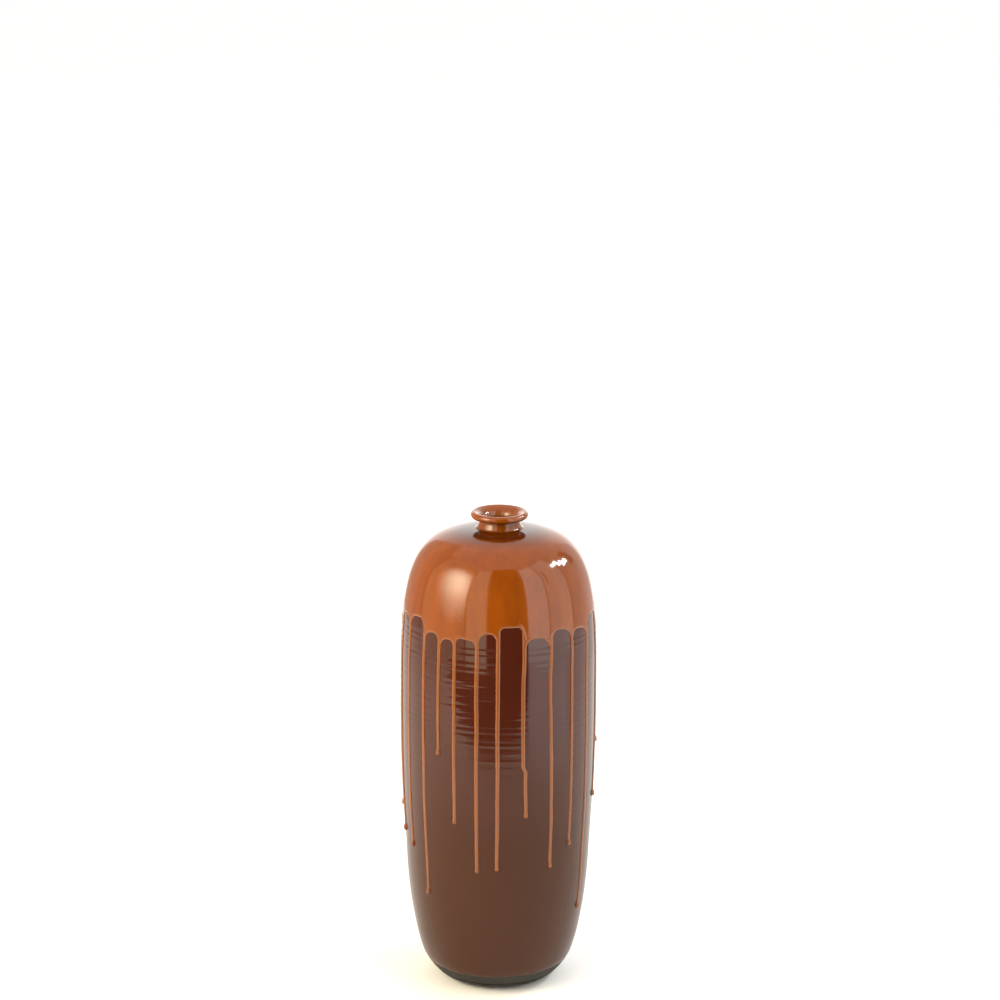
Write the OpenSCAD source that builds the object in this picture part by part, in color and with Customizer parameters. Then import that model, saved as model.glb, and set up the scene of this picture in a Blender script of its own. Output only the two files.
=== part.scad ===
// Stoneware floor vase, wheel-thrown in sections and glazed in layers.
// The origin is on the axis, at the level that the foot stands on. +Z is up.

/* [Body] */
// Height of the whole vase
vase_h = 480; // [400:5:560]
// Greatest width of the clay body
body_d = 191.4; // [160:0.2:230]
// Thickness of the thrown wall
wall_t = 7; // [5:0.5:9]
// Height of the lap where the two thrown sections are luted together
lap_h = 6; // [4:1:10]

/* [Foot] */
// Radius of the recess under the foot
recess_r = 42; // [30:1:44]
// Depth of the recess under the foot
recess_h = 10; // [6:0.5:12]
// Radius of the floor's seat inside the foot ring
seat_r = 58; // [50:1:60]
// Height of the inside floor
floor_h = 19; // [17:0.5:22]

/* [Neck] */
// Radius of the collar where it stands on the shoulder
root_r = 20.6; // [19:0.2:22]
// Radius of the throat in the clay
throat_r = 15.5; // [14:0.1:16]
// Radius of the middle of the rolled lip
lip_r = 25; // [24.6:0.1:27]
// Radius of the roll itself
roll_r = 2.76; // [2.4:0.02:3]
// Depth of the socket that the collar sits in
socket_h = 3.5; // [2:0.5:4]

/* [Glaze] */
// Thickness of the dark iron glaze
dark_t = 0.7; // [0.5:0.1:1]
// Thickness of the poured amber glaze
amber_t = 0.7; // [0.5:0.1:1]
// Thickness of the glaze inside
liner_t = 0.6; // [0.4:0.1:0.8]
// Width of a trailed glaze run
run_w = 4; // [3:0.5:6]
// How far a run stands proud of the dark glaze
run_t = 1.2; // [0.8:0.1:1.6]
// Radius of the drop at a run's end
drop_r = 2.5; // [2:0.1:3]

/* [Hidden] */
$fn = 180;
eps = 0.01;

// The clay's outer face from the foot to the collar, as [radius, height] at the sizes above
base_h = 480;
base_d = 191.4;
form = [
    [50, 0], [61, 5], [66.9, 12], [71.4, 20], [78.2, 40], [83.5, 65], [88.4, 100], [91.5, 150],
    [94.2, 200], [95.5, 250], [95.7, 300], [94.6, 360], [91, 400], [84.9, 423.3], [77.5, 438.2],
    [63.6, 452], [46.8, 458.6], [32, 461.2], [root_r, 462]
];
foot_top = 3;      // the point of form where the foot ring ends and the glaze begins
belly = 9;         // the point where the two thrown sections meet
coat_edge = 11;    // the point where the amber coat ends and its runs go on
steps = 4;         // facets between two points of an outline

// Each trailed run: its place round the vase in degrees, 0 at the front, and the height of its end
runs = [
    [-157, 130], [-141, 236], [-125, 112], [-109, 165], [-93, 176], [-79.5, 157], [-65, 148],
    [-49, 106], [-37, 257], [-26.4, 189], [-12.7, 140], [-0.4, 143], [15, 198], [32, 141],
    [48, 159], [64, 83], [80.5, 194], [94, 243], [109, 120], [125, 175], [141, 98], [156, 215],
    [171.5, 150], [187.5, 188]
];
// The height of the bare arch between each run and the next one
arches = [
    382, 377, 386, 380, 379, 385, 388, 377, 374, 376, 383, 389,
    377, 382, 378, 386, 379, 384, 376, 388, 381, 375, 385, 378
];

// The collar and the lip in clay, above the top of the shoulder
collar_out = [[root_r, 0], [root_r, 2.5], [19.6, 6], [18.9, 9], [20, 11.2], [22.4, 12.4]];
collar_in = [[22, 16.4], [19.4, 14.9], [17.2, 12.6], [15.9, 9.4], [throat_r, 5], [throat_r, -socket_h]];
lip_h = 14.6;
roll_start = -110;
roll_end = 130;
roll_step = 30;
pool_r = 2;        // the fillet where glaze pools round the collar
pool_h = 3.5;

// A smooth curve through an outline's points, with its slope at each from the two beside it
function span(p, i) = norm(p[i + 1] - p[i]);
function chord(p, i) = (p[i + 1] - p[i]) / span(p, i);
function slope(p, i) =
    i == 0 ? chord(p, 0) :
    i == len(p) - 1 ? chord(p, i - 1) :
    (chord(p, i - 1) * span(p, i) + chord(p, i) * span(p, i - 1)) / (span(p, i - 1) + span(p, i));
function between(p, i, t) =
    p[i] * (2 * t ^ 3 - 3 * t ^ 2 + 1) + slope(p, i) * span(p, i) * (t ^ 3 - 2 * t ^ 2 + t)
    + p[i + 1] * (3 * t ^ 2 - 2 * t ^ 3) + slope(p, i + 1) * span(p, i) * (t ^ 3 - t ^ 2);
function smooth(p, n) = [for (i = [0 : len(p) - 2]) for (k = [0 : n - 1]) between(p, i, k / n), p[len(p) - 1]];

// The line a distance to the left of an outline's direction; outlines run up the outside
function left_of(p, i) = let (d = p[min(i + 1, len(p) - 1)] - p[max(i - 1, 0)]) [-d[1], d[0]] / norm(d);
function offset_line(p, d) = [for (i = [0 : len(p) - 1]) p[i] - left_of(p, i) * d];
function piece(p, a, b) = [for (i = [a : b]) p[i]];
function above(p, h) = [for (q = p) if (q[1] > h) q];
function reversed(p) = [for (i = [len(p) - 1 : -1 : 0]) p[i]];
function radius_at(p, h) = lookup(h, [for (q = p) [q[1], q[0]]]);

// Faces of the body: bare clay, dark glaze, amber glaze, and the two inside
last = (len(form) - 1) * steps;
clay = smooth([for (p = form) [p[0] == root_r ? root_r : p[0] * body_d / base_d, p[1] * vase_h / base_h]], steps);
dark = offset_line(clay, dark_t);
amber = offset_line(clay, dark_t + amber_t);
shoulder_h = clay[last][1];
socket_floor = shoulder_h - socket_h;
wall_in = [for (p = above(offset_line(clay, -wall_t), floor_h + 2)) if (p[0] > throat_r) p];
liner_in = [for (p = above(offset_line(clay, -wall_t - liner_t), floor_h + 2)) if (p[0] > throat_r) p];
floor_r = wall_in[0][0] - 8;

// Faces of the collar: clay, and the amber glaze over it
roll = [for (a = [roll_start : roll_step : roll_end]) [lip_r + roll_r * cos(a), lip_h + roll_r * sin(a)]];
collar = [for (p = smooth(concat(collar_out, roll, collar_in), 2)) [p[0], p[1] + shoulder_h]];
collar_glaze = offset_line(collar, amber_t);
collar_last = len(collar) - 1;
glaze_meet = collar_last - 6;  // where the amber glaze meets the glaze inside, in the throat

function run_name(i) = str("glaze_run_", i < 9 ? "0" : "", i + 1);

// Trimmed ring of bare clay that the vase stands on, luted under the floor
module foot_ring() {
    color("#3f3c33") rotate_extrude() polygon(concat(
        [[recess_r, 0]],
        piece(clay, 0, foot_top * steps),
        [[seat_r, clay[foot_top * steps][1]], [seat_r, recess_h], [recess_r, recess_h]]
    ));
}

// Thrown floor and lower wall, with a tongue on the rim for the section above
module lower_section() {
    rim = clay[belly * steps];
    tongue_r = rim[0] - wall_t / 2;
    color("#6b5a48") rotate_extrude() polygon(concat(
        [[0, recess_h], [seat_r, recess_h], [seat_r, clay[foot_top * steps][1]]],
        piece(clay, foot_top * steps, belly * steps),
        [[tongue_r, rim[1]], [tongue_r, rim[1] + lap_h]],
        reversed([for (p = wall_in) if (p[1] < rim[1] + lap_h) p]),
        [[floor_r, floor_h], [0, floor_h]]
    ));
}

// Thrown upper wall and shoulder, with a rebate over the tongue and a socket for the collar
module upper_section() {
    rim = clay[belly * steps];
    tongue_r = rim[0] - wall_t / 2;
    color("#6b5a48") rotate_extrude() polygon(concat(
        [[tongue_r, rim[1] + lap_h], [tongue_r, rim[1]]],
        piece(clay, belly * steps, last),
        [[root_r, socket_floor], [throat_r, socket_floor], [throat_r, shoulder_h - wall_t]],
        reversed([for (p = wall_in) if (p[1] > rim[1] + lap_h) p])
    ));
}

// Thrown collar with a rolled lip, luted into the shoulder's socket
module neck_collar() {
    color("#6b5a48") rotate_extrude() polygon(concat([[root_r, socket_floor]], collar));
}

// Clear brown glaze that seals the floor, the wall and the throat
module liner_glaze() {
    throat = [throat_r, shoulder_h - wall_t];
    color("#5a3a22") rotate_extrude() polygon(concat(
        [[0, floor_h], [floor_r, floor_h]],
        wall_in,
        [throat],
        reversed(piece(collar, glaze_meet, collar_last)),
        piece(offset_line(collar, liner_t), glaze_meet, collar_last),
        [throat - [liner_t, liner_t]],
        reversed(liner_in),
        [[floor_r - liner_t / 2, floor_h + liner_t], [0, floor_h + liner_t]]
    ));
}

// Dark iron glaze on the whole outside, from the foot to the collar
module dark_glaze() {
    color("#4a1f10") rotate_extrude() polygon(concat(
        piece(clay, foot_top * steps, last),
        reversed(piece(dark, foot_top * steps, last))
    ));
}

// The outline of one bare arch, round at the top and open below, with its top at the origin
module arch_outline(w, h) {
    translate([0, -w / 2]) circle(d = w);
    translate([-w / 2, -h]) square([w, h - w / 2]);
}

// The cut for the bare arch between a run and the next one
module arch_cut(i) {
    next = i < len(runs) - 1 ? runs[i + 1][0] : runs[0][0] + 360;
    gap = next - runs[i][0];
    w = 2 * PI * dark[coat_edge * steps][0] * gap / 360 - run_w;
    h = arches[i] * vase_h / base_h;
    rotate([90, 0, runs[i][0] + gap / 2])
        translate([0, h, dark[coat_edge * steps][0] - wall_t])
            linear_extrude(2 * wall_t)
                arch_outline(w, h - dark[coat_edge * steps][1] + wall_t);
}

// Amber glaze over the shoulder, collar and lip, with an arch left bare between each two runs
module amber_glaze() {
    edge = coat_edge * steps;
    color("#b8641c") difference() {
        rotate_extrude() polygon(concat(
            piece(dark, edge, last),
            piece(collar, 1, glaze_meet),
            reversed([for (i = [0 : glaze_meet]) if (collar[i][1] > shoulder_h + pool_h) collar_glaze[i]]),
            [[root_r + pool_r, amber[last][1] + eps]],
            reversed([for (i = [edge : last]) if (amber[i][0] > root_r + pool_r + 1) amber[i]])
        ));
        for (i = [0 : len(runs) - 1]) arch_cut(i);
    }
}

// One trailed run of amber glaze: a strip down the dark glaze that ends in a rounded drop
module glaze_run(i) {
    top = dark[coat_edge * steps][1];
    end = runs[i][1] * vase_h / base_h;
    face = concat(
        [[radius_at(dark, end), end]],
        [for (p = dark) if (p[1] > end + 1 && p[1] < top - 1) p],
        [[radius_at(dark, top), top]]
    );
    turn = run_w / face[len(face) - 1][0] * 180 / PI;
    lean = atan2(face[1][0] - face[0][0], face[1][1] - face[0][1]);
    color("#c47a34") rotate([0, 0, runs[i][0] - 90]) {
        rotate([0, 0, -turn / 2]) rotate_extrude(angle = turn)
            polygon(concat(face, reversed([for (p = face) p + [run_t, 0]])));
        translate([face[0][0] + eps, 0, end]) rotate([0, lean, 0]) intersection() {
            sphere(r = drop_r);
            translate([0, -drop_r, -drop_r]) cube([drop_r, 2 * drop_r, 2 * drop_r]);
        }
    }
}

foot_ring();
lower_section();
upper_section();
neck_collar();
liner_glaze();
dark_glaze();
amber_glaze();
for (i = [0 : len(runs) - 1])
    glaze_run(i);
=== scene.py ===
# A stoneware floor vase: thrown sections under a dark iron glaze, an amber glaze and its runs.
import math

import bmesh
import bpy
from mathutils import Matrix, Vector, noise
from mathutils.bvhtree import BVHTree


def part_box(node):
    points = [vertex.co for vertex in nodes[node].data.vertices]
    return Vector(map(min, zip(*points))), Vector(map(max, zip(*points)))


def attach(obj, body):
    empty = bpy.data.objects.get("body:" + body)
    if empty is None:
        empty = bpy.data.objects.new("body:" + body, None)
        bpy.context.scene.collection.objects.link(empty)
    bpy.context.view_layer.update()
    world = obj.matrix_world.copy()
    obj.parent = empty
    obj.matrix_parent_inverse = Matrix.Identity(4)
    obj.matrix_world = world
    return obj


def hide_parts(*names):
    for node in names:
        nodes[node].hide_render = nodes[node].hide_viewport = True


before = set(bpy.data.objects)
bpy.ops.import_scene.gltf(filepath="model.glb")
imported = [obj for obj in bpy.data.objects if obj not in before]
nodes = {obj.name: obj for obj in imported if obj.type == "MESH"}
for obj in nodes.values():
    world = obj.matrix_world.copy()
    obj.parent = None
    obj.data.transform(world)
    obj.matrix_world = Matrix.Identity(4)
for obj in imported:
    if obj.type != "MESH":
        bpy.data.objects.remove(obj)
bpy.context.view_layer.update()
mm = 0.001

# --- Thrown clay ---------------------------------------------------------------------------------
# Floor and wall, shoulder and collar are three thrown sections of iron-bearing stoneware, luted
# at stepped laps. Glaze hides all of them, so the CAD solids stay and only get the clay's look.


def linear(hex_colour):
    """The linear RGBA of an sRGB hex colour."""
    parts = [int(hex_colour[i : i + 2], 16) / 255 for i in (1, 3, 5)]
    return tuple(c / 12.92 if c < 0.04045 else ((c + 0.055) / 1.055) ** 2.4 for c in parts) + (1.0,)


def add(tree, kind, settings=None, links=None):
    """Adds a node, sets its properties and input values, and links its inputs from other sockets."""
    made = tree.nodes.new(kind)
    for name, value in (settings or {}).items():
        if hasattr(made, name):
            setattr(made, name, value)
        else:
            made.inputs[name].default_value = value
    for name, socket in (links or {}).items():
        tree.links.new(socket, made.inputs[name])
    return made


def new_material(name):
    """An empty node material and its node tree."""
    material = bpy.data.materials.new(name)
    material.use_nodes = True
    material.node_tree.nodes.clear()
    return material, material.node_tree


# Fired stoneware, unglazed: matt, with a fine sandy tooth of about 0.8 mm and darker iron specks.
clay_look, tree = new_material("fired_stoneware_clay")
place = add(tree, "ShaderNodeTexCoord").outputs["Object"]
sand = add(tree, "ShaderNodeTexNoise", {"Scale": 1 / (0.8 * mm), "Detail": 3.0}, {"Vector": place})
cloud = add(tree, "ShaderNodeTexNoise", {"Scale": 1 / (25 * mm), "Detail": 4.0}, {"Vector": place})
tone = add(tree, "ShaderNodeValToRGB", links={"Fac": cloud.outputs["Fac"]})
tone.color_ramp.elements[0].color = linear("#161410")
tone.color_ramp.elements[0].position = 0.3
tone.color_ramp.elements[1].color = linear("#25221b")
tone.color_ramp.elements[1].position = 0.7
spot = add(tree, "ShaderNodeTexVoronoi", {"Scale": 1 / (7 * mm)}, {"Vector": place})
is_spot = add(
    tree, "ShaderNodeMapRange", {"From Min": 0.06, "From Max": 0.12, "To Min": 1.0, "To Max": 0.0},
    {"Value": spot.outputs["Distance"]},
)
specked = add(
    tree, "ShaderNodeMix", {"data_type": "RGBA", "B": linear("#16140f")},
    {"Factor": is_spot.outputs["Result"], "A": tone.outputs["Color"]},
)
tooth = add(
    tree, "ShaderNodeBump", {"Strength": 0.5, "Distance": 0.15 * mm}, {"Height": sand.outputs["Fac"]}
)
shader = add(
    tree, "ShaderNodeBsdfPrincipled", {"Roughness": 0.78, "IOR": 1.5},
    {"Base Color": specked.outputs["Result"], "Normal": tooth.outputs["Normal"]},
)
add(tree, "ShaderNodeOutputMaterial", links={"Surface": shader.outputs["BSDF"]})


def dress(thing, material):
    """Gives every material slot of an object one material."""
    thing.data.materials.clear()
    thing.data.materials.append(material)


for name in ("lower_section", "upper_section", "neck_collar"):
    dress(nodes[name], clay_look)

# --- The thrown form -----------------------------------------------------------------------------
# Every visible layer follows one outline, the outer face of the dark glaze. Its points are the
# rings of the CAD coat, and a smooth curve runs through them. Hands leave rings on the wheel.

axis_point = Vector((0, 0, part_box("neck_collar")[1].z / 2))


def rings(name):
    """The radius and height of every ring of points in a turned CAD node."""
    points = [v.co for v in nodes[name].data.vertices]
    found = {(round(math.hypot(p.x, p.y), 5), round(p.z, 5)) for p in points}
    return [Vector(p) for p in found]


def faces_of(name):
    """A CAD node's faces, ready for rays."""
    copy = bmesh.new()
    copy.from_mesh(nodes[name].data)
    faces = BVHTree.FromBMesh(copy)
    copy.free()
    return faces


# A ring is on the outer face if nothing of the coat lies further out, and it is a corner if the
# outline bends there.
same_face = 0.1 * mm
least_step = 1 * mm
least_bend = 0.008 * mm


def outer_outline(name):
    """The corners of a coat's outer face, in order from the foot up."""
    faces = faces_of(name)
    seen = []
    for ring in rings(name):
        aim = Vector((ring.x, 0, ring.y)) - axis_point
        hit = faces.ray_cast(axis_point + aim * 1.1, -aim)[0]
        if hit and (hit - axis_point).length - aim.length < same_face:
            seen.append(ring)
    seen.sort(key=lambda p: math.atan2(p.y - axis_point.z, p.x))
    corners = seen[:1]
    for i in range(1, len(seen) - 1):
        step = seen[i] - corners[-1]
        ahead = (seen[i + 1] - corners[-1]).normalized()
        if step.length > least_step and abs(step.x * ahead.y - step.y * ahead.x) > least_bend:
            corners.append(seen[i])
    return corners + seen[-1:]


def smooth_line(points, spacing):
    """Points a spacing apart on a smooth curve through an outline's corners."""
    last = len(points) - 1
    gaps = [(points[i + 1] - points[i]).length for i in range(last)]
    runs_at = [(points[i + 1] - points[i]) / gaps[i] for i in range(last)]
    slopes = [runs_at[0]]
    for i in range(1, last):
        slopes.append((runs_at[i - 1] * gaps[i] + runs_at[i] * gaps[i - 1]) / (gaps[i] + gaps[i - 1]))
    slopes.append(runs_at[-1])
    line = []
    for i in range(last):
        count = max(1, round(gaps[i] / spacing))
        for k in range(count):
            t = k / count
            line.append(
                points[i] * (2 * t**3 - 3 * t**2 + 1) + slopes[i] * gaps[i] * (t**3 - 2 * t**2 + t)
                + points[i + 1] * (3 * t**2 - 2 * t**3) + slopes[i + 1] * gaps[i] * (t**3 - t**2)
            )
    return line + [points[last]]


def eased(line, passes):
    """A line with its small corners eased out."""
    for _ in range(passes):
        inner = [(line[i - 1] + line[i] * 2 + line[i + 1]) / 4 for i in range(1, len(line) - 1)]
        line = line[:1] + inner + line[-1:]
    return line


row_gap = 1.3 * mm
form = eased(smooth_line(outer_outline("dark_glaze"), row_gap), 10)
form_length = [0.0]
for a, b in zip(form, form[1:]):
    form_length.append(form_length[-1] + (b - a).length)


def on_form(i, lift=0.0):
    """The radius and height at a point of the form, lifted off it by a distance."""
    run = form[min(i + 1, len(form) - 1)] - form[max(i - 1, 0)]
    return form[i] + Vector((run.y, -run.x)).normalized() * lift


def form_index(height):
    """The first point of the form above a height, on the wall or the shoulder."""
    return next(i for i, p in enumerate(form) if p.y >= height)


# Throwing leaves a ring about every 7 mm, a few hundredths deep, and the wall a little out of
# round. The amber evens the rings out on the shoulder, and a wet sponge did so low on the wall.
wall_radius = 97 * mm
ring_pitch = 7.2 * mm
ring_depth = 0.034 * mm
ring_drift = 50 * mm
ring_patch_width = 28 * mm
ring_patch_height = 9 * mm
rings_end = 390 * mm
rings_end_fade = 32 * mm
rings_begin = 200 * mm
rings_begin_fade = 70 * mm
dent_size = 30 * mm
dent_depth = 0.09 * mm


def throwing(turn, height):
    """How far the thrown wall stands out at a place: its spiral ring and its soft dents."""
    spot = Vector((math.sin(turn) * wall_radius, -math.cos(turn) * wall_radius, height))
    drift = noise.noise(Vector((3.1, 0, height / ring_drift)))
    ring = math.sin(2 * math.pi * (height / ring_pitch + drift) + turn)
    ring += 0.7 * math.sin(2 * math.pi * (height / (0.62 * ring_pitch) - 2 * drift) + 2 * turn)
    patch = Vector((spot.x / ring_patch_width, spot.y / ring_patch_width, height / ring_patch_height))
    strength = 1 + 1.6 * noise.noise(patch)
    evened_high = max(0.12, (rings_end - height) / rings_end_fade)
    evened_low = max(0.3, (height - rings_begin) / rings_begin_fade)
    strength *= min(1, evened_high, evened_low)
    return ring_depth * ring * strength + dent_depth * noise.noise(spot / dent_size)


def at(turn, point):
    """The place in space of a radius and height, a turn round from the front."""
    out = point.x + throwing(turn, point.y)
    return Vector((out * math.sin(turn), -out * math.cos(turn), point.y))


def move_out(point, distance):
    """Moves a mesh point straight out from the vase's axis."""
    out = math.hypot(point.co.x, point.co.y)
    grown = (out + distance) / out
    point.co.x *= grown
    point.co.y *= grown


def finish_piece(name, mesh, material, slot, *stands_for):
    """Makes a piece of the root body from a bmesh."""
    bmesh.ops.recalc_face_normals(mesh, faces=mesh.faces)
    for face in mesh.faces:
        face.smooth = True
    data = bpy.data.meshes.new(name)
    mesh.to_mesh(data)
    mesh.free()
    thing = bpy.data.objects.new(name, data)
    bpy.context.scene.collection.objects.link(thing)
    thing.data.materials.append(material)
    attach(thing, "root")
    if stands_for:
        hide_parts(*stands_for)


def turned(outline, steps):
    """A closed outline of radius and height, spun round the vase's axis."""
    mesh = bmesh.new()
    loop = [mesh.verts.new((0, -p.x, p.y)) for p in outline]
    edges = [mesh.edges.new((loop[i - 1], loop[i])) for i in range(len(loop))]
    bmesh.ops.spin(
        mesh, geom=loop + edges, cent=(0, 0, 0), axis=(0, 0, 1), angle=2 * math.pi, steps=steps,
        use_merge=True,
    )
    return mesh


# --- Foot ring -----------------------------------------------------------------------------------
# The ring that the vase stands on is bare, dark clay. It was trimmed with a loop tool when leather
# hard, which left fine grooves and a softened edge, and its footprint was sponged flat.

foot_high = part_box("foot_ring")[1]
foot_rings = rings("foot_ring")
inner_side = 49.5 * mm
below_seat = 19.9 * mm
foot_corners = [p for p in foot_rings if p.x > inner_side and p.y < below_seat]
foot_corners.sort(key=lambda p: p.y)
foot_corners.append(Vector((foot_high.x, foot_high.z)))
recess = min(p.x for p in foot_rings)
recess_top = max(p.y for p in foot_rings if abs(p.x - recess) < same_face)
edge = 1.2 * mm
worn = 3.5 * mm
foot_spacing = 0.8 * mm
foot_corners = [p - Vector((worn * (1 - p.y / foot_corners[-1].y), 0)) for p in foot_corners]
foot_out = smooth_line(foot_corners, foot_spacing)
foot_edge = foot_out[0].x
foot_out = [Vector((foot_edge - edge, 0)), Vector((foot_edge - edge * 0.3, edge * 0.12))] + foot_out[2:]
groove_pitch = 1.9 * mm
groove_depth = 0.05 * mm
scuff_size = 6 * mm
scuff_depth = 0.08 * mm
seat = 58 * mm
outer_band = 8 * mm
foot_steps = 200
foot_line = foot_out + [
    Vector((seat, foot_high.z)),
    Vector((seat, recess_top)),
    Vector((recess, recess_top)),
    Vector((recess, edge)),
    Vector((recess + edge * 0.3, edge * 0.3)),
    Vector((recess + edge, 0)),
]
foot = turned(foot_line, foot_steps)
for v in foot.verts:
    out = math.hypot(v.co.x, v.co.y)
    turn = math.atan2(v.co.x, -v.co.y)
    if out > seat - outer_band and 0.5 * mm < v.co.z < foot_high.z - 0.3 * mm:
        cut = math.sin(2 * math.pi * v.co.z / groove_pitch + 0.5 * math.sin(turn))
        move_out(v, groove_depth * cut + scuff_depth * noise.noise(v.co / scuff_size))
finish_piece("foot_ring_trimmed", foot, clay_look, "bare_clay", "foot_ring")

# --- Dark iron glaze -----------------------------------------------------------------------------
# The whole outside was dipped in an iron glaze that fires to a glossy red-brown black. It stops in
# a rolled edge just above the foot, where the potter sponged it off so that it can't stick.

# Iron glaze, fired: a smooth, hard gloss with a faint orange peel of about 1.6 mm.
dark_look, tree = new_material("iron_glaze_dark_brown")
place = add(tree, "ShaderNodeTexCoord").outputs["Object"]
cloud = add(tree, "ShaderNodeTexNoise", {"Scale": 1 / (60 * mm), "Detail": 4.0}, {"Vector": place})
tone = add(tree, "ShaderNodeValToRGB", links={"Fac": cloud.outputs["Fac"]})
tone.color_ramp.elements[0].color = linear("#371206")
tone.color_ramp.elements[0].position = 0.2
tone.color_ramp.elements[1].color = linear("#411709")
tone.color_ramp.elements[1].position = 0.8
grain = add(tree, "ShaderNodeTexNoise", {"Scale": 1 / (1.6 * mm), "Detail": 2.0}, {"Vector": place})
peel = add(
    tree, "ShaderNodeBump", {"Strength": 0.3, "Distance": 0.012 * mm}, {"Height": grain.outputs["Fac"]}
)
height = add(tree, "ShaderNodeSeparateXYZ", links={"Vector": place}).outputs["Z"]
# Lower down, the gloss goes satin, the brown turns more yellow and its reflection weaker.
satin = add(
    tree, "ShaderNodeMapRange",
    {"From Min": 0.30, "From Max": 0.16, "To Min": 0.08, "To Max": 0.27}, {"Value": height},
)
lowness = add(
    tree, "ShaderNodeMapRange",
    {"From Min": 0.30, "From Max": 0.14, "To Min": 0.0, "To Max": 0.85}, {"Value": height},
)
browned = add(
    tree, "ShaderNodeMix", {"data_type": "RGBA", "B": linear("#3d1f0b")},
    {"Factor": lowness.outputs["Result"], "A": tone.outputs["Color"]},
)
sheen = add(
    tree, "ShaderNodeMapRange",
    {"From Min": 0.30, "From Max": 0.16, "To Min": 0.56, "To Max": 0.3}, {"Value": height},
)
shader = add(
    tree, "ShaderNodeBsdfPrincipled", {"IOR": 1.44},
    {
        "Base Color": browned.outputs["Result"],
        "Roughness": satin.outputs["Result"],
        "Specular IOR Level": sheen.outputs["Result"],
        "Normal": peel.outputs["Normal"],
    },
)
add(tree, "ShaderNodeOutputMaterial", links={"Surface": shader.outputs["BSDF"]})

# Under the amber the coat needs only every fourth ring of points, and at its back every fifth.
dark_depth = 0.55 * mm
hidden_from = form_index(398 * mm)
glaze_edge = 0.9 * mm
dark_steps = 240
edge_band = 9 * mm
edge_wander = 0.5 * mm
dark_out = [on_form(i) for i in range(1, hidden_from)]
dark_out += [on_form(i) for i in range(hidden_from, len(form), 4)]
dark_in = [on_form(i, -dark_depth) for i in range(1, len(form), 5)]
rolled = []
for depth in (1.0, 0.6, 0.25):
    rolled.append(on_form(0, -dark_depth * depth) + Vector((0, glaze_edge * (0.25 - 0.25 * depth))))
dark = turned(rolled + dark_out + dark_in[::-1], dark_steps)
for v in dark.verts:
    turn = math.atan2(v.co.x, -v.co.y)
    move_out(v, throwing(turn, v.co.z))
    if v.co.z < foot_high.z + edge_band:
        keep = 1 - (v.co.z - foot_high.z) / edge_band
        wander = noise.noise(Vector((math.sin(turn) * 3, math.cos(turn) * 3, 5)))
        v.co.z += edge_wander * wander * keep
finish_piece("dark_glaze_coat", dark, dark_look, "dark_iron_glaze", "dark_glaze")

# --- Amber glaze: layout -------------------------------------------------------------------------
# Amber glaze was poured over the lip and shoulder, and 24 lines of it were trailed down the wall.
# Each line's place, length and the bare arch beside it come from the CAD nodes.

run_names = sorted(name for name in nodes if name.startswith("glaze_run_"))
run_count = len(run_names)
amber_faces = faces_of("amber_glaze")
coat_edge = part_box("amber_glaze")[0].z
arch_radius = form[form_index(coat_edge)].x
run_width = 4.2 * mm
drop_size = 2.5 * mm


def turn_of(name):
    """How far round from the front a run lies."""
    points = [v.co for v in nodes[name].data.vertices]
    middle = sum(points, Vector()) / len(points)
    return math.atan2(middle.x, -middle.y)


run_turns = [turn_of(name) for name in run_names]
for i in range(1, run_count):
    while run_turns[i] < run_turns[i - 1]:
        run_turns[i] += 2 * math.pi
run_ends = [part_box(name)[0].z + drop_size for name in run_names]


def next_turn(i):
    """The turn of the run after run i."""
    return run_turns[i + 1] if i + 1 < run_count else run_turns[0] + 2 * math.pi


# An arch is felt for from above, with rays shot in from outside: one that goes further than the
# coat's near face has found the bare arch.
above_arches = 45 * mm
feel_step = 0.5 * mm
feel_from = 120 * mm
near_face = 50 * mm


def arch_top(turn):
    """The height at which the amber coat begins, at a turn."""
    height = coat_edge + above_arches
    way_in = Vector((-math.sin(turn), math.cos(turn), 0))
    while height > coat_edge:
        hit = amber_faces.ray_cast(Vector((0, 0, height)) - way_in * feel_from, way_in)
        if hit[0] is None or hit[3] > near_face:
            break
        height -= feel_step
    return height


arch_middles = [(run_turns[i] + next_turn(i)) / 2 for i in range(run_count)]
arch_widths = [(next_turn(i) - run_turns[i]) * arch_radius - run_width for i in range(run_count)]
arch_tops = [arch_top(turn) for turn in arch_middles]
# Most arches are nearly round at the top. These have another corner radius, in mm, and some tops
# lean, by a slope.
usual_corner = 9
arch_corners = {4: 6, 7: 6.5, 9: 5, 11: 4.5, 12: 10, 18: 5.5, 21: 6}
arch_lean = {
    2: 0.1, 6: 0.05, 7: 0.08, 8: 0.1, 9: -0.13, 10: 0.12,
    12: -0.1, 13: -0.16, 14: -0.18, 15: 0.1, 19: -0.12,
}


def outside_arch(i, across, height):
    """The distance from arch i's edge to a place on the unrolled wall: positive in the amber."""
    across -= arch_middles[i] * arch_radius
    half = arch_widths[i] / 2
    corner = min(half, arch_corners.get(i, usual_corner) * mm)
    top = arch_tops[i] + arch_lean.get(i, 0) * across
    side = abs(across) - (half - corner)
    up = height - (top - corner)
    return math.hypot(max(side, 0), max(up, 0)) + min(max(side, up), 0) - corner


def clipped(value):
    """A value held between 0 and 1."""
    return min(1, max(0, value))


# Surface tension rounds the glaze over within 2 mm of its edge and leaves a bead along it. The
# glaze reaches a little way under the dark coat's face, and sinks into it past its edge.
coat_lift = 0.8 * mm
round_over = 2.0 * mm
bead_lift = 0.2 * mm
bead_at = 1.3 * mm
bead_width = 0.8 * mm
under = 0.25 * mm
sink = 0.6


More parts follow.
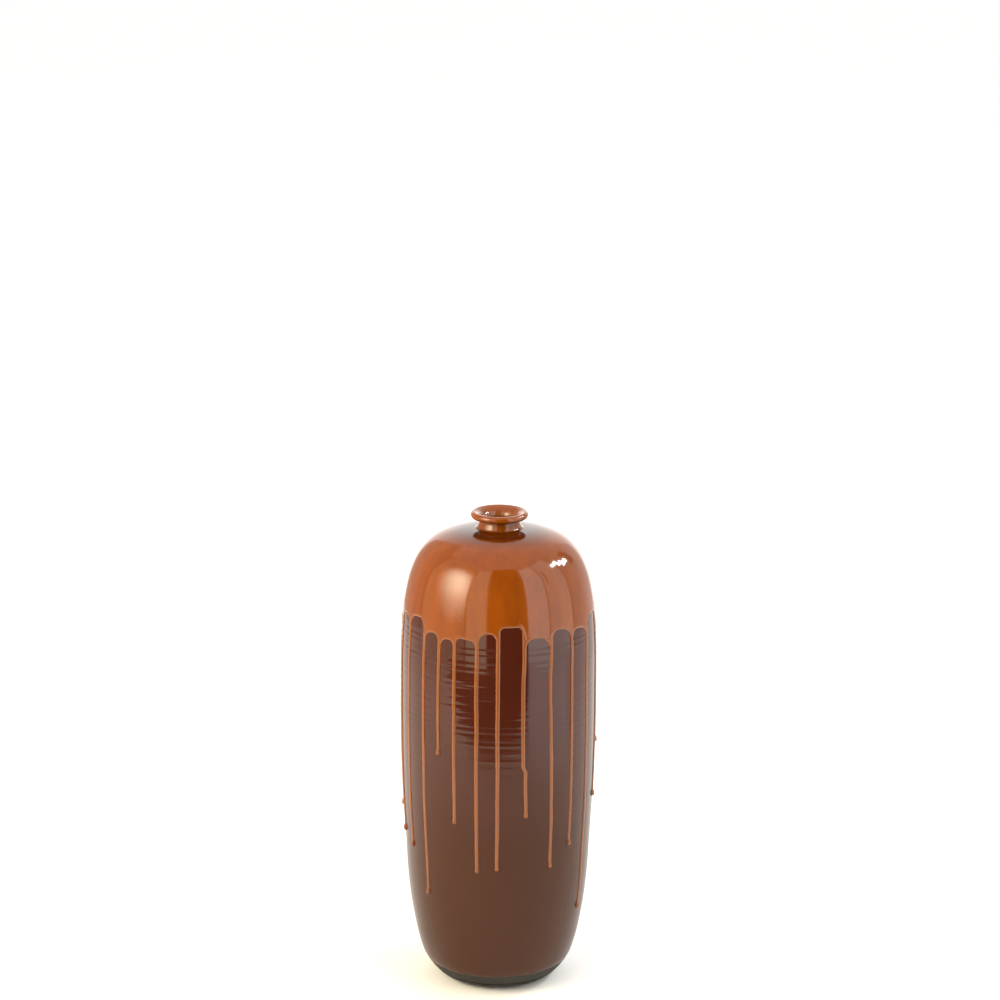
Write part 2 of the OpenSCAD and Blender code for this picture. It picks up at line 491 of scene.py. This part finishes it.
def glaze_height(inside):
    """How thick molten glaze set at a distance inside its own edge: round-shouldered, with a bead."""
    if inside < 0:
        return inside * sink
    t = min(inside / round_over, 1)
    bead = bead_lift * math.exp(-(((inside - bead_at) / bead_width) ** 2))
    return coat_lift * math.sqrt(1 - (1 - t) ** 2) + bead * t


# Round the neck's foot the amber is darkened. This is painted shade and painted reflection, standing in
# for the shade there and for the lip's dark underside mirrored in the shoulder.
neck_shade_radius = 60 * mm
neck_shade_fade = 22 * mm
column_stride = 5
bare_past = 0.3
merge_within = 0.02 * mm


def neck_shade(out):
    """How much painted shade a point gets at a distance from the axis: all of it round the neck's foot.
    """
    return clipped((neck_shade_radius - out) / neck_shade_fade)


def sheet(columns, rows, place, plain_from=None):
    """A grid laid just under the dark glaze's face and raised to the glaze's height over it.

    place(column, row) gives the turn, the point of the form and its way out, the distance inside
    the glaze's edge and its height. Above the row plain_from only every fifth column is kept.
    """
    mesh = bmesh.new()
    rim = mesh.verts.layers.float.new("rim")
    painted_shade = mesh.verts.layers.float.new("painted_shade")
    lift = mesh.verts.layers.float_vector.new("lift")
    bmesh.ops.create_grid(mesh, x_segments=len(columns) - 1, y_segments=len(rows) - 1, size=1)
    for v in mesh.verts:
        j = round((v.co.x + 1) / 2 * (len(columns) - 1))
        row = rows[round((v.co.y + 1) / 2 * (len(rows) - 1))]
        if plain_from is not None and row > plain_from and j < len(columns) - 1:
            j -= j % column_stride
        turn, point, way_out, inside, thick = place(columns[j], row)
        v.co = at(turn, point - way_out * under)
        rise = way_out * (thick + under)
        v[lift] = Vector((rise.x * math.sin(turn), -rise.x * math.cos(turn), rise.y))
        v[rim] = inside / mm
        # Painted shade round the neck's foot, kept as a point value that darkens the amber.
        v[painted_shade] = neck_shade(point.x)
    bare = [f for f in mesh.faces if all(v[rim] < -bare_past for v in f.verts)]
    bmesh.ops.delete(mesh, geom=bare, context="FACES")
    bmesh.ops.remove_doubles(mesh, verts=mesh.verts, dist=merge_within)
    raised = bmesh.ops.extrude_face_region(mesh, geom=list(mesh.faces), use_keep_orig=True)["geom"]
    tops = {f for f in raised if isinstance(f, bmesh.types.BMFace)}
    for v in raised:
        if isinstance(v, bmesh.types.BMVert):
            v.co += v[lift]
    for e in mesh.edges:
        if sum(f in tops for f in e.link_faces) == 1:
            e.smooth = False
    mesh.verts.layers.float_vector.remove(mesh.verts.layers.float_vector["lift"])
    return mesh


# --- Amber glaze: look ---------------------------------------------------------------------------
# A glossy iron amber. Near its edge it turns a paler tan, partly glaze breaking thin over its
# own bead and partly a painted highlight along that ridge, and at its very edge it goes dark
# brown. Round the neck's foot and under the lip painted shade darkens it. The point value
# "rim" is mm inside its edge.

amber_look, tree = new_material("iron_glaze_amber")
place = add(tree, "ShaderNodeTexCoord").outputs["Object"]
rim = add(tree, "ShaderNodeAttribute", {"attribute_name": "rim"}).outputs["Fac"]
streaks = add(
    tree, "ShaderNodeMapping", {"Scale": (1.0, 1.0, 0.16)}, {"Vector": place}
).outputs["Vector"]
blotch = add(tree, "ShaderNodeTexNoise", {"Scale": 1 / (14 * mm), "Detail": 5.0}, {"Vector": streaks})
speck = add(tree, "ShaderNodeTexNoise", {"Scale": 1 / (1.1 * mm), "Detail": 2.0}, {"Vector": place})
mixed = add(
    tree, "ShaderNodeMix", {"data_type": "FLOAT", "Factor": 0.45},
    {"A": blotch.outputs["Fac"], "B": speck.outputs["Fac"]},
)
deep = add(tree, "ShaderNodeValToRGB", links={"Fac": mixed.outputs["Result"]})
deep.color_ramp.elements[0].color = linear("#652e03")
deep.color_ramp.elements[0].position = 0.3
deep.color_ramp.elements[1].color = linear("#813e04")
deep.color_ramp.elements[1].position = 0.7
nearness = add(
    tree, "ShaderNodeMapRange",
    {"From Min": 0.0, "From Max": 4.0, "To Min": 0.0, "To Max": 1.0}, {"Value": rim},
)
# Near the edge the amber turns a paler tan: partly glaze breaking thin over its bead, partly a painted
# highlight along the ridge.
break_and_highlight = add(tree, "ShaderNodeValToRGB", links={"Fac": nearness.outputs["Result"]})
break_and_highlight.color_ramp.elements[0].color = (0.0, 0.0, 0.0, 1.0)
break_and_highlight.color_ramp.elements[0].position = 0.04
break_and_highlight.color_ramp.elements[1].color = (0.0, 0.0, 0.0, 1.0)
break_and_highlight.color_ramp.elements[1].position = 0.8
for spot, value in ((0.12, 1.0), (0.24, 1.0), (0.5, 0.35)):
    stop = break_and_highlight.color_ramp.elements.new(spot)
    stop.color = (value, value, value, 1.0)
tan_and_highlight = add(
    tree, "ShaderNodeMix", {"data_type": "RGBA", "B": linear("#7d4a26")},
    {"Factor": break_and_highlight.outputs["Color"], "A": deep.outputs["Color"]},
)
# Painted shade: round the neck's foot and under the lip, the amber is darkened towards a near-black
# brown.
painted_shade = add(tree, "ShaderNodeAttribute", {"attribute_name": "painted_shade"}).outputs["Fac"]
thick = add(
    tree, "ShaderNodeMapRange",
    {"From Min": 0.0, "From Max": 1.0, "To Min": 0.0, "To Max": 0.85}, {"Value": painted_shade},
)
shaded_tone = add(
    tree, "ShaderNodeMix", {"data_type": "RGBA", "B": linear("#3a1504")},
    {"Factor": thick.outputs["Result"], "A": tan_and_highlight.outputs["Result"]},
)
# Within 0.34 mm of its edge the amber goes dark brown.
edge_darkening = add(
    tree, "ShaderNodeMapRange",
    {"From Min": 0.02, "From Max": 0.34, "To Min": 1.0, "To Max": 0.0}, {"Value": rim},
)
tone = add(
    tree, "ShaderNodeMix", {"data_type": "RGBA", "B": linear("#572009")},
    {"Factor": edge_darkening.outputs["Result"], "A": shaded_tone.outputs["Result"]},
)
peel = add(
    tree, "ShaderNodeBump", {"Strength": 0.35, "Distance": 0.03 * mm}, {"Height": speck.outputs["Fac"]}
)
shader = add(
    tree, "ShaderNodeBsdfPrincipled", {"Roughness": 0.09, "IOR": 1.46},
    {"Base Color": tone.outputs["Result"], "Normal": peel.outputs["Normal"]},
)
add(tree, "ShaderNodeOutputMaterial", links={"Surface": shader.outputs["BSDF"]})

# --- Amber coat ----------------------------------------------------------------------------------
# The coat covers the shoulder and ends in open arches between the trailed lines, with a rounded
# bead all along its edge where the molten glaze stopped. The neck's bead of glaze overlaps its top.


def along_form(length):
    """The point of the form a length up from its start, and the way out there."""
    i = 1
    while form_length[i] < length and i < len(form) - 2:
        i += 1
    part = (length - form_length[i - 1]) / (form_length[i] - form_length[i - 1])
    point = form[i - 1].lerp(form[i], part)
    outs = [on_form(k, 1.0) - form[k] for k in (i - 1, i)]
    return point, outs[0].lerp(outs[1], part).normalized()


def length_at(height):
    """How far along the form a height of the wall is."""
    i = form_index(height)
    part = (height - form[i - 1].y) / (form[i].y - form[i - 1].y)
    return form_length[i - 1] + part * (form_length[i] - form_length[i - 1])


# The grid's columns are closest across a line and beside it, and its rows where the arches end.
half_line = (0.5, 0.95, 1.4, 1.8, 2.1, 2.4, 2.7)
line_columns = [-c * mm for c in half_line[::-1]] + [0.0] + [c * mm for c in half_line]
fine_gap = 0.6 * mm
column_gap = 1.3 * mm
row_gap_above = 2.2 * mm
beside_line = 4 * mm
after_line = 3.1 * mm
before_line = 2.9 * mm
coat_columns = []
for i in range(run_count):
    first = run_turns[i] * arch_radius
    gap = arch_widths[i] + run_width
    coat_columns += [(first + c, i) for c in line_columns[1:]]
    spot = after_line
    while spot < gap - before_line:
        coat_columns.append((first + spot, i))
        from_side = min(spot, gap - spot) - run_width / 2
        spot += fine_gap if from_side < beside_line else column_gap
coat_columns = sorted(coat_columns)
coat_columns.append((coat_columns[0][0] + 2 * math.pi * arch_radius, 0))

fine_from = length_at(min(arch_tops) - 11 * mm)
fine_to = length_at(max(arch_tops) + 4.5 * mm)
coat_rows = [length_at(coat_edge)]
while coat_rows[-1] < form_length[-1] - row_gap_above:
    step = fine_gap if fine_from < coat_rows[-1] < fine_to else row_gap_above
    coat_rows.append(coat_rows[-1] + step)
row_places = {row: along_form(row) for row in coat_rows}
arches_end = max(arch_tops) + 5 * mm
arch_spread = 30 * mm
far_inside = 99 * mm
edge_ripple = 24
edge_ripple_depth = 0.35 * mm
edge_ripple_fade = 8 * mm

# One wisp of glaze curls over an arch's shoulder at the front: its turn in degrees and height in mm.
wisp = ((12.0, 392.5), (12.9, 391.0), (14.2, 387.0), (15.3, 381.0), (15.9, 376.0))
wisp_lift = 0.22 * mm
wisp_width = 0.7 * mm
wisp_rim = 0.8 * mm


def wisp_gap(turn, point):
    """The distance to the wisp."""
    here = Vector((turn * arch_radius, point.y))
    gap = far_inside
    for (a, b), (c, d) in zip(wisp, wisp[1:]):
        start = Vector((math.radians(a) * arch_radius, b * mm))
        way = Vector((math.radians(c) * arch_radius, d * mm)) - start
        part = clipped((here - start).dot(way) / way.length_squared)
        gap = min(gap, (here - start - way * part).length)
    return gap


def coat_place(column, row):
    """Where a point of the amber coat lies, how far inside its edge and how thick it is."""
    across = column[0]
    point, way_out = row_places[row]
    near = far_inside
    if point.y < arches_end:
        for k in range(-1, 2):
            i = (column[1] + k) % run_count
            for lap in (-1, 0, 1):
                shifted = across + lap * 2 * math.pi * arch_radius
                if abs(shifted - arch_middles[i] * arch_radius) < arch_spread:
                    near = min(near, outside_arch(i, shifted, point.y))
    turn = across / arch_radius
    ripple = noise.noise(Vector((math.sin(turn) * edge_ripple, math.cos(turn) * edge_ripple, 0)))
    near += edge_ripple_depth * ripple * clipped((point.y - coat_edge) / edge_ripple_fade)
    thick = glaze_height(near)
    # Along the wisp the rim value drops, so this raised wisp of glaze shows the paler tan, partly as a
    # painted highlight.
    if near > wisp_rim and 8 < math.degrees(turn) < 20 and point.y < 396 * mm:
        curl = math.exp(-((wisp_gap(turn, point) / wisp_width) ** 2))
        thick += wisp_lift * curl
        near += (wisp_rim - min(near, 4 * mm)) * curl * 0.9
    return turn, point, way_out, near, thick


coat = sheet(coat_columns, coat_rows, coat_place, fine_to)
finish_piece("amber_glaze_coat", coat, amber_look, "amber_glaze", "amber_glaze")

# --- Trailed runs --------------------------------------------------------------------------------
# Each line of amber was trailed from a bulb and ran down the wall by itself, so it wavers a
# little, thins on its way and ends in a drop that froze as the kiln cooled.

# Where a line clearly strays, its sideways shift in degrees at heights in mm.
strays = {
    12: ((360, 0.0), (332, -0.6), (249.5, -0.4), (242, 1.1), (200, 1.5)),
    13: ((360, 0.0), (338, -0.8), (150, 1.6)),
    14: ((360, 0.0), (335, -0.6), (165, 0.4)),
    15: ((360, 0.0), (335, -1.2), (90, 1.1)),
}
waver_depth = 0.45 * mm
waver_long = 38 * mm
waver_short = 9 * mm
waver_fade = 25 * mm
drop_radius = 2.2
drop_height = 1.3
drop_stretch = 7 * mm
melt = 0.9 * mm
run_rows = 1.8 * mm
drop_rows = 0.45 * mm


def run_shift(i, height):
    """How far sideways run i has strayed at a height."""
    marks = strays.get(i, ((360, 0.0),))
    shift = marks[-1][1]
    for (high, before), (low, after) in zip(marks, marks[1:]):
        if height > low * mm:
            t = clipped((high * mm - height) / ((high - low) * mm))
            shift = before + (after - before) * t * t * (3 - 2 * t)
            break
    waver = noise.noise(Vector((i * 7.3, 2.0, height / waver_long)))
    waver += 0.3 * noise.noise(Vector((i * 5.1, 8.0, height / waver_short)))
    fade = clipped((coat_edge - height) / waver_fade)
    return math.radians(shift) * arch_radius + waver_depth * waver * fade


def run_place(i):
    """The place() of run i's sheet."""
    end = run_ends[i]
    drop = (drop_radius + 0.25 * noise.noise(Vector((i * 3.7, 1, 4)))) * mm
    drop_lift = (drop_height + 0.3 * noise.noise(Vector((i * 2.3, 6, 2)))) * mm

    def place(column, row):
        point, way_out = row
        from_end = point.y - end
        down = clipped((coat_edge - point.y) / (coat_edge - end))
        uneven = noise.noise(Vector((i * 4.9, 5.0, point.y / (24 * mm))))
        fade = clipped((coat_edge - point.y) / (15 * mm))
        half = run_width / 2 * (1 - 0.13 * down + 0.09 * uneven * fade)
        widen = 1.12 * drop / (run_width / 2) - 1
        spot = column * (1 + widen * clipped(1 - from_end / (4 * drop_stretch)))
        line = half - abs(spot) if from_end > 0 else -math.hypot(spot, from_end)
        ball = drop - math.hypot(spot, from_end * (0.75 if from_end > 0 else 1))
        inside = max(line, ball)
        blend = melt - abs(line - ball)
        if blend > 0:
            inside += blend * blend / (4 * melt)
        swell = math.exp(-((max(from_end, 0) / drop_stretch) ** 2)) if from_end > -drop else 0
        from_middle = math.hypot(spot, from_end * (0.5 if from_end > 0 else 1))
        dome = max(0, 1 - (from_middle / (drop * 1.05)) ** 2)
        thick = glaze_height(inside)
        if inside > 0:
            thick *= 1 + 0.22 * down + 0.15 * swell
            thick += drop_lift * math.sqrt(dome)
        turn = run_turns[i] + (run_shift(i, point.y) + spot) / arch_radius
        return turn, point, way_out, inside, thick

    return place


for i, name in enumerate(run_names):
    top = length_at(coat_edge)
    fine = length_at(run_ends[i] + 6 * mm)
    bottom = length_at(run_ends[i] - 3 * mm)
    steps = max(2, round((top - fine) / run_rows))
    lengths = [top + (fine - top) * k / steps for k in range(steps)]
    steps = round((fine - bottom) / drop_rows)
    lengths += [fine + (bottom - fine) * k / steps for k in range(steps + 1)]
    rows = [along_form(length) for length in reversed(lengths)]
    run = sheet(line_columns, rows, run_place(i))
    finish_piece(name + "_trailed", run, amber_look, "run_glaze", name)

# --- Amber collar --------------------------------------------------------------------------------
# The same pour of amber covers the neck inside and out. It thins and breaks paler over the
# rolled lip and runs down into the throat. Painted shade darkens it in the corner above the
# shoulder and under the lip, and painted light makes it paler down the throat.

# Radius and height of the glaze's face in mm: up from the shoulder, over the lip, into the throat.
collar_line = [
    Vector((r * mm, z * mm))
    for r, z in (
        (27.5, 462.1), (25.4, 462.7), (23.9, 463.2), (22.8, 463.75), (21.9, 464.6), (21.3, 465.7),
        (20.7, 467.2), (19.95, 469.3), (19.65, 471.1), (20.0, 472.4), (21.0, 473.35), (22.6, 473.8),
        (24.1, 473.35), (25.6, 473.2), (27.0, 473.85), (28.1, 475.1), (28.45, 476.6), (28.0, 478.25),
        (26.8, 479.5), (25.0, 480.0), (23.3, 479.6), (21.1, 478.8), (18.7, 477.35), (16.35, 474.7),
        (15.5, 473.1), (14.95, 471.4), (14.65, 469.7), (14.7, 468.7), (15.0, 468.2), (15.3, 468.0),
    )
]
collar_spacing = 0.5 * mm
collar_depth = 0.5 * mm
collar_steps = 180
collar_dent = 9 * mm
collar_dent_depth = 0.12 * mm
lip_low = 472.6 * mm
lip_under = 472.8 * mm
neck_foot = 466 * mm
throat = 18 * mm
collar_skin = eased(smooth_line(collar_line, collar_spacing), 4)
collar_under = []
for i in range(len(collar_skin)):
    run = collar_skin[min(i + 1, len(collar_skin) - 1)] - collar_skin[max(i - 1, 0)]
    collar_under.append(collar_skin[i] - Vector((run.y, -run.x)).normalized() * collar_depth)
collar = turned(collar_skin + collar_under[::-2], collar_steps)
rim_layer = collar.verts.layers.float.new("rim")
painted_shade_layer = collar.verts.layers.float.new("painted_shade")
for v in collar.verts:
    out = math.hypot(v.co.x, v.co.y)
    rough = noise.noise(v.co / collar_dent)
    move_out(v, collar_dent_depth * rough)
    on_lip = clipped((v.co.z - lip_low) / (2 * mm)) * clipped((out - 19 * mm) / (4 * mm))
    # Painted shade: darker under the lip.
    lip_shade = max(0, 1 - abs(v.co.z - lip_under) / (2.4 * mm)) if out > 18.5 * mm else 0
    # Painted light: down the throat the rim value drops, so the amber shows a paler tan.
    painted_throat_light = clipped((throat - out) / (2 * mm))
    # Painted shade: darker in the corner at the neck's foot.
    neck_foot_shade = clipped((neck_foot - v.co.z) / (3 * mm)) if out > throat else 0
    v[painted_shade_layer] = max(neck_foot_shade, lip_shade)
    v[rim_layer] = 4 - (1.0 + 2.6 * rough) * on_lip - 2.6 * painted_throat_light
finish_piece("amber_glaze_collar", collar, amber_look, "amber_glaze", "amber_glaze")

# --- Liner glaze ---------------------------------------------------------------------------------
# The inside was rinsed with a plain brown liner glaze. Little of it shows down the dark throat, so
# the CAD shell stays and gets a glossy brown look.

liner_look, tree = new_material("brown_liner_glaze")
place = add(tree, "ShaderNodeTexCoord").outputs["Object"]
cloud = add(tree, "ShaderNodeTexNoise", {"Scale": 1 / (30 * mm), "Detail": 3.0}, {"Vector": place})
tone = add(tree, "ShaderNodeValToRGB", links={"Fac": cloud.outputs["Fac"]})
tone.color_ramp.elements[0].color = linear("#32160b")
tone.color_ramp.elements[1].color = linear("#512510")
shader = add(
    tree, "ShaderNodeBsdfPrincipled", {"Roughness": 0.12, "IOR": 1.6},
    {"Base Color": tone.outputs["Color"]},
)
add(tree, "ShaderNodeOutputMaterial", links={"Surface": shader.outputs["BSDF"]})
dress(nodes["liner_glaze"], liner_look)

# --- Studio --------------------------------------------------------------------------------------
# A white table in a room of large soft panels. The gloss shows them, with a dark gap between the
# left and right banks where the camera stands. None of them shows to the camera or casts a shadow.


def board(low_left, low_right, high_left, high_right):
    """A flat sheet with four corners."""
    made = bmesh.new()
    bmesh.ops.create_grid(made, x_segments=1, y_segments=1, size=1)
    for v in made.verts:
        left, right = (low_left, low_right) if v.co.y < 0 else (high_left, high_right)
        v.co = right if v.co.x > 0 else left
    return made


def stage_thing(name, mesh, material, shown=True):
    """A stage object from a bmesh."""
    data = bpy.data.meshes.new(name)
    mesh.to_mesh(data)
    mesh.free()
    thing = bpy.data.objects.new(name, data)
    bpy.context.scene.collection.objects.link(thing)
    thing.data.materials.append(material)
    thing.visible_camera = shown
    thing.visible_shadow = shown
    return thing


floor_paint, tree = new_material("white_table_laminate")
shader = add(tree, "ShaderNodeBsdfPrincipled", {"Base Color": linear("#f4f4f3"), "Roughness": 0.9})
add(tree, "ShaderNodeOutputMaterial", links={"Surface": shader.outputs["BSDF"]})
mesh = bmesh.new()
bmesh.ops.create_circle(mesh, cap_ends=True, segments=64, radius=30.0)
stage_thing("floor", mesh, floor_paint)


def panel(name, first, last, low, high, strength, core=None, room=1.6, tint="#fffdf9"):
    """An upright soft light from one azimuth to another, in degrees from the camera's side.

    A core is a brighter middle: its azimuth and height, how far it reaches and how much it adds.
    """
    look, panel_tree = new_material(name + "_diffuser")
    glow = add(panel_tree, "ShaderNodeEmission", {"Color": linear(tint), "Strength": strength})
    if core:
        azimuth, height, reach, extra = core
        turn = math.radians(azimuth)
        middle = Vector((room * math.sin(turn), -room * math.cos(turn), height))
        spot_at = add(panel_tree, "ShaderNodeTexCoord").outputs["Object"]
        away = add(panel_tree, "ShaderNodeVectorMath", {"operation": "DISTANCE"}, {"Vector": spot_at})
        away.inputs[1].default_value = middle
        level = add(
            panel_tree, "ShaderNodeMapRange",
            {"interpolation_type": "SMOOTHSTEP", "From Min": 0.0, "From Max": reach,
             "To Min": strength + extra, "To Max": strength},
            {"Value": away.outputs["Value"]},
        )
        panel_tree.links.new(level.outputs["Result"], glow.inputs["Strength"])
    add(panel_tree, "ShaderNodeOutputMaterial", links={"Surface": glow.outputs["Emission"]})
    a, b = math.radians(first), math.radians(last)
    left = Vector((room * math.sin(a), -room * math.cos(a), low))
    right = Vector((room * math.sin(b), -room * math.cos(b), low))
    up = Vector((0, 0, high - low))
    stage_thing(name, board(left, right, left + up, right + up), look, shown=False)


panel("soft_panel_left", -103, -39.5, 0.02, 2.5, 1.45, (-57, 1.13, 0.95, 17.0), tint="#fff0cf")
panel("soft_panel_left_front", -38, -14, 0.02, 2.5, 2.5, tint="#fff0cf")
panel("soft_panel_left_back", -160, -105, 0.02, 2.2, 0.9, tint="#ffe9d4")
panel("soft_panel_right_front", 34, 60, 0.02, 2.6, 2.9)
panel("soft_panel_right", 61.5, 96, 0.02, 2.6, 2.2)
panel("soft_panel_right_back", 97.5, 150, 0.02, 2.4, 1.1)
panel("soft_panel_behind", 152, 208, 0.02, 2.6, 1.1, (180, 0.2, 1.9, 1.3))
panel("seam_left_back", -105, -103, 0.02, 2.5, 0.1)
panel("seam_left_front", -39.5, -38, 0.02, 2.5, 0.1)
panel("seam_right_front", 60, 61.5, 0.02, 2.6, 0.1)
panel("seam_right_back", 96, 97.5, 0.02, 2.4, 0.1)
panel("dark_gap", -14, 34, 0.012, 2.9, 0.08)
panel("dark_patch_near", 66, 69, 0.9, 1.5, 0.5, room=1.3)
panel("dark_patch_far", 120, 131, 0.75, 1.3, 0.3, room=1.2)
panel("bright_window_low", 108, 119, 0.95, 1.08, 40, room=1.15)
panel("bright_window_mid", 101, 112, 1.08, 1.2, 40, room=1.15)
panel("bright_window_high", 90, 104, 1.22, 1.36, 40, room=1.15)

# A dark cloth in front of the table darkens what the lower wall reflects. It shows in gloss only.
cloth_weave, tree = new_material("dark_floor_cloth")
shader = add(tree, "ShaderNodeBsdfPrincipled", {"Base Color": linear("#463f39"), "Roughness": 0.9})
add(tree, "ShaderNodeOutputMaterial", links={"Surface": shader.outputs["BSDF"]})
mesh = board(
    Vector((-1.8, -1.15, 0.01)), Vector((1.1, -1.6, 0.01)),
    Vector((-1.4, -0.62, 0.01)), Vector((0.5, -0.78, 0.01)),
)
cloth = stage_thing("dark_floor_cloth", mesh, cloth_weave, shown=False)
cloth.visible_diffuse = False

# A glowing sheet to the right of the cloth, painted light standing in for the table's lit white edge.
edge_glow, tree = new_material("glowing_table_edge")
glow = add(tree, "ShaderNodeEmission", {"Color": linear("#fffdf9"), "Strength": 2.0})
add(tree, "ShaderNodeOutputMaterial", links={"Surface": glow.outputs["Emission"]})
mesh = board(
    Vector((1.1, -1.5, 0.012)), Vector((1.5, -0.2, 0.012)),
    Vector((0.42, -0.6, 0.012)), Vector((0.75, -0.1, 0.012)),
)
stage_thing("glowing_table_edge", mesh, edge_glow, shown=False)

world = bpy.data.worlds.new("white_room")
bpy.context.scene.world = world
world.use_nodes = True
world.node_tree.nodes.clear()
sky = add(world.node_tree, "ShaderNodeBackground", {"Color": linear("#ffffff"), "Strength": 1.1})
add(world.node_tree, "ShaderNodeOutputWorld", links={"Surface": sky.outputs["Background"]})

# --- Camera --------------------------------------------------------------------------------------
# The camera stands at the middle front, a little above the lip, and looks down at the vase.

camera_data = bpy.data.cameras.new("camera")
camera_data.sensor_width = 36
camera_data.lens = 107.55
camera_data.clip_end = 100
camera_down = 14.49
camera_roll = 0.33
camera = bpy.data.objects.new("camera", camera_data)
bpy.context.scene.collection.objects.link(camera)
camera.location = (0.0004, -2.8193, 1.2194)
pitch = Matrix.Rotation(math.radians(90 - camera_down), 4, "X")
roll = Matrix.Rotation(math.radians(camera_roll), 4, "Z")
camera.rotation_euler = (pitch @ roll).to_euler()
bpy.context.scene.camera = camera
bpy.context.scene.view_settings.view_transform = "Standard"
